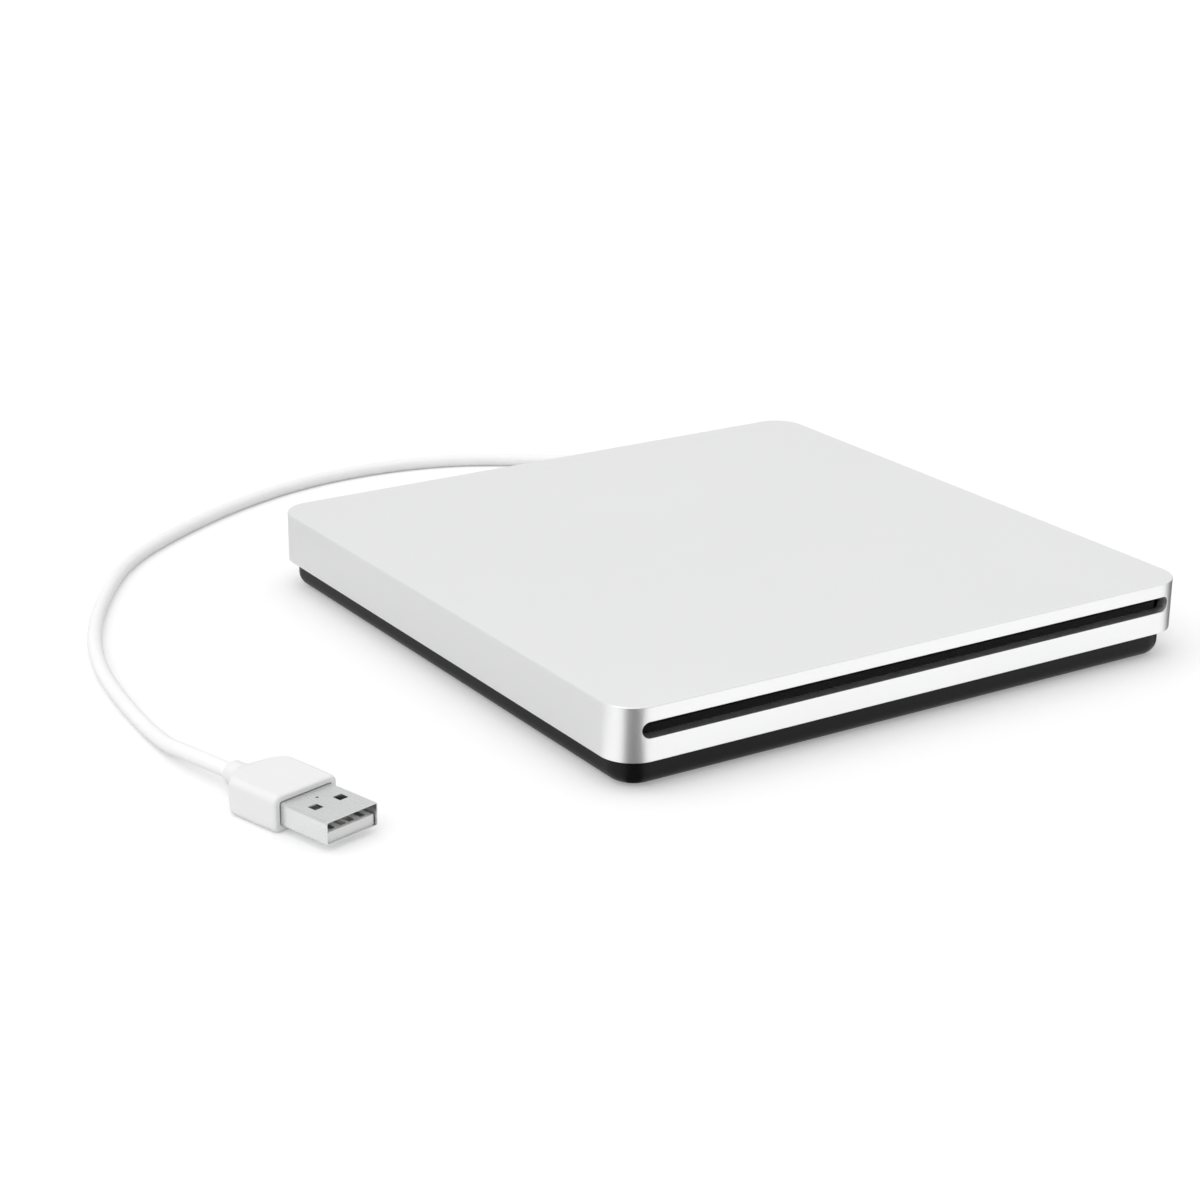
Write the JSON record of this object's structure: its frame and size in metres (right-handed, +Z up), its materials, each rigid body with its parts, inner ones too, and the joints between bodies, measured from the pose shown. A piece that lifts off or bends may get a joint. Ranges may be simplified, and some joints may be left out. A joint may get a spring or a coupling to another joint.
{
  "type": "external slot-loading disc drive",
  "caption": "Flat square external disc drive with a slot in its front, a metal shell over a dark tray, its loading mechanism inside, and a white lead with a flat plug.",
  "frame": {"origin": "middle of the case's footprint on the table", "axes": "+Z up, the disc slot faces -Y, +X to the right as seen from the front"},
  "size_m": [0.2017, 0.1993, 0.017],
  "materials": {
    "shell": "bead-blasted",
    "tray": "satin",
    "pad": "matte",
    "sheet_steel": "satin",
    "steel": "polished",
    "felt": "matte",
    "damper": "matte",
    "gear": "satin",
    "slider": "satin",
    "roller": "satin",
    "brass": "satin",
    "board": "satin",
    "chip": "satin",
    "socket": "satin",
    "black": "satin",
    "diecast": "satin",
    "magnet": "satin",
    "glass": "polished",
    "hub": "gloss",
    "white": "satin",
    "cord": "satin",
    "plug_metal": "satin",
    "contact": "satin"
  },
  "bodies": {
    "housing": {"top_shell": "shell", "base_tray": "tray", "foot_pad": "pad", "shell_screws": "steel", "drive_screws": "steel", "drive_chassis": "sheet_steel", "top_cover": "sheet_steel", "felt_lower": "felt", "felt_upper": "felt", "dampers": "damper", "hinge_brackets": "sheet_steel", "pivot_studs": "steel", "left_arm_stud": "steel", "motor_bracket": "sheet_steel", "loading_motor": "steel", "main_board": "board", "main_board_chips": "chip", "cable_sockets": "socket", "board_plug": "black", "board_socket": "black", "bridge_board": "board", "bridge_chip": "chip", "cord_boot": "white", "cord": "cord", "plug_grip": "white", "plug_shell": "plug_metal", "plug_tongue": "white", "plug_contacts": "contact"},
    "worm_shaft": {"motor_shaft": "steel", "worm": "brass"},
    "first_gear": {"worm_gear": "gear"},
    "second_gear": {"train_gear": "gear"},
    "corner_gear": {"corner_pinion": "gear"},
    "main_slider": {"cam_slider": "slider"},
    "rear_slider": {"cross_slider": "slider"},
    "right_guide": {"right_arm": "sheet_steel"},
    "right_guide_roller": {"right_roller": "roller"},
    "ejector": {"eject_lever": "sheet_steel"},
    "ejector_roller": {"lever_roller": "roller"},
    "left_guide": {"left_arm": "sheet_steel"},
    "left_guide_roller": {"left_roller": "roller"},
    "traverse": {"traverse_frame": "diecast", "guide_rods": "steel", "feed_motor": "steel", "spindle_base": "sheet_steel", "stator": "magnet"},
    "feed_screw": {"lead_screw": "steel"},
    "pickup": {"sled": "diecast", "focus_magnets": "magnet"},
    "focus_lens": {"lens_holder": "black", "lens": "glass"},
    "spindle": {"spindle_rotor": "sheet_steel", "spindle_shaft": "steel", "turntable": "black", "rubber_ring": "damper", "centring_hub": "hub", "disc_claws": "hub"}
  },
  "joints": [
    {"name": "motor_spin", "type": "hinge", "parent": "housing", "child": "worm_shaft", "pos_m": [0.052, -0.05867, 0.00717], "axis": [1, 0, 0], "range_deg": [0, 7758.8]},
    {"name": "first_gear_spin", "type": "hinge", "parent": "housing", "child": "first_gear", "pos_m": [0.052, -0.05027, 0.00657], "axis": [0, 0, 1], "range_deg": [-298.42, 0]},
    {"name": "second_gear_spin", "type": "hinge", "parent": "housing", "child": "second_gear", "pos_m": [0.0542, -0.04, 0.00433], "axis": [0, 0, 1], "range_deg": [0, 119.37]},
    {"name": "main_slide", "type": "slide", "parent": "housing", "child": "main_slider", "axis": [0, 1, 0], "range_m": [0, 0.01]},
    {"name": "corner_gear_spin", "type": "hinge", "parent": "housing", "child": "corner_gear", "pos_m": [0.0506, 0.047, 0.0088], "axis": [0, 0, 1], "range_deg": [0, 68.21]},
    {"name": "rear_slide", "type": "slide", "parent": "housing", "child": "rear_slider", "axis": [-1, 0, 0], "range_m": [0, 0.01]},
    {"name": "right_arm_swing", "type": "hinge", "parent": "housing", "child": "right_guide", "pos_m": [0.043, -0.008, 0.009], "axis": [0, 0, 1], "range_deg": [0, 35.81]},
    {"name": "right_roller_spin", "type": "hinge", "parent": "right_guide", "child": "right_guide_roller", "pos_m": [0.02338, -0.04108, 0.0105], "axis": [0, 0, 1], "continuous": true},
    {"name": "eject_lever_swing", "type": "hinge", "parent": "housing", "child": "ejector", "pos_m": [-0.048, 0.0394, 0.009], "axis": [0, 0, 1], "range_deg": [0, 35.81]},
    {"name": "lever_roller_spin", "type": "hinge", "parent": "ejector", "child": "ejector_roller", "pos_m": [0.01938, 0.01151, 0.0105], "axis": [0, 0, 1], "continuous": true},
    {"name": "left_arm_swing", "type": "hinge", "parent": "housing", "child": "left_guide", "pos_m": [-0.059, 0.016, 0.0138], "axis": [0, 0, 1], "range_deg": [0, 75], "stiffness_Nm_per_rad": 0.0002, "springref_deg": -17.19},
    {"name": "left_roller_spin", "type": "hinge", "parent": "left_guide", "child": "left_guide_roller", "pos_m": [-0.03697, 0.01241, 0.0119], "axis": [0, 0, 1], "continuous": true},
    {"name": "traverse_tilt", "type": "hinge", "parent": "housing", "child": "traverse", "pos_m": [-0.04102, -0.04402, 0.0073], "axis": [0.7071, -0.7071, 0], "range_deg": [0, 2.37]},
    {"name": "feed_spin", "type": "hinge", "parent": "traverse", "child": "feed_screw", "pos_m": [-0.01656, 0.00929, 0.00562], "axis": [-0.7065, -0.7065, 0.0414], "range_deg": [0, 4080.67]},
    {"name": "pickup_slide", "type": "slide", "parent": "traverse", "child": "pickup", "axis": [-0.7065, -0.7065, 0.0414], "range_m": [0, 0.03401]},
    {"name": "focus_slide", "type": "slide", "parent": "pickup", "child": "focus_lens", "axis": [0.0293, 0.0293, 0.9991], "range_m": [-0.0003, 0.0005], "stiffness_N_per_m": 40},
    {"name": "spindle_spin", "type": "hinge", "parent": "traverse", "child": "spindle", "pos_m": [0.0001, -0.0029, 0.0095], "axis": [0.0293, 0.0293, 0.9991], "continuous": true}
  ],
  "couplings": [
    {"joint": "motor_spin", "follows": "main_slide", "rad_per_m": 13542},
    {"joint": "first_gear_spin", "follows": "main_slide", "rad_per_m": -520.83},
    {"joint": "second_gear_spin", "follows": "main_slide", "rad_per_m": 208.33},
    {"joint": "corner_gear_spin", "follows": "main_slide", "rad_per_m": 119.05},
    {"joint": "rear_slide", "follows": "main_slide", "ratio": 1},
    {"joint": "right_arm_swing", "follows": "main_slide", "rad_per_m": 62.5},
    {"joint": "eject_lever_swing", "follows": "main_slide", "rad_per_m": 62.5},
    {"joint": "traverse_tilt", "follows": "main_slide", "rad_per_m": 4.1387},
    {"joint": "feed_spin", "follows": "pickup_slide", "rad_per_m": 2094.4}
  ]
}
